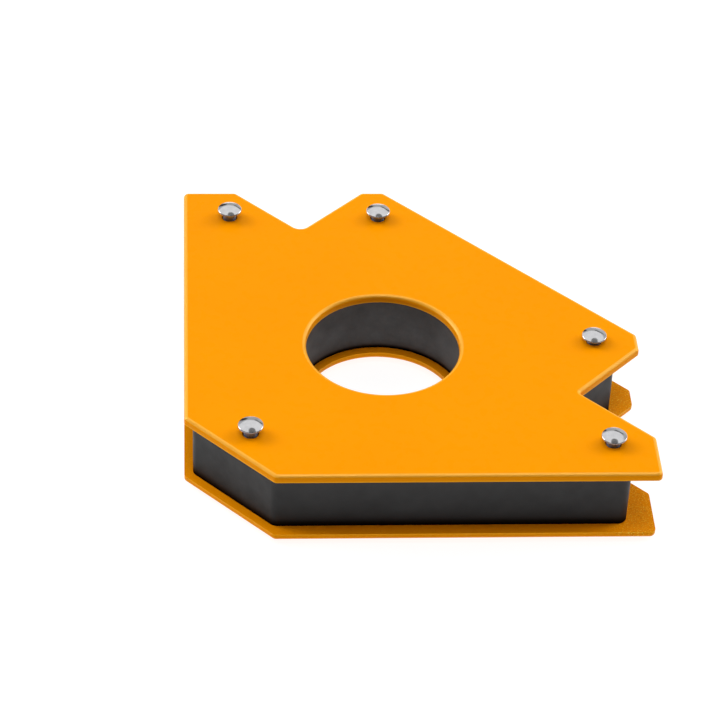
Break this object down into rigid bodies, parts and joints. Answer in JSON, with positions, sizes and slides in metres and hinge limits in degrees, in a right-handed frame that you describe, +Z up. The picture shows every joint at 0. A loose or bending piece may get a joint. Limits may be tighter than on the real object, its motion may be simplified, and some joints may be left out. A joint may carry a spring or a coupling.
{
  "type": "welding magnet holder",
  "caption": "Arrow-shaped magnetic holder with two steel plates round a ring magnet; holds workpieces at set angles for welding or fitting.",
  "frame": {"origin": "on the surface that the holder lies on, under the middle of its bounding box", "axes": "+Z up through the thickness of the stack; +X along the front working edge, away from the cut nose; +Y along the left working edge, away from the nose"},
  "size_m": [0.085, 0.085, 0.0188],
  "materials": {
    "plate_paint": "satin",
    "spacer_plastic": "satin",
    "ferrite": "matte",
    "rivet_chrome": "polished"
  },
  "bodies": {
    "root": {"upper_plate": "plate_paint", "lower_plate": "plate_paint", "spacer_frame": "spacer_plastic", "ring_magnet": "ferrite", "rivet_left_arm": "rivet_chrome", "rivet_left_shoulder": "rivet_chrome", "rivet_right_shoulder": "rivet_chrome", "rivet_nose": "rivet_chrome", "rivet_right_arm": "rivet_chrome"}
  },
  "joints": []
}
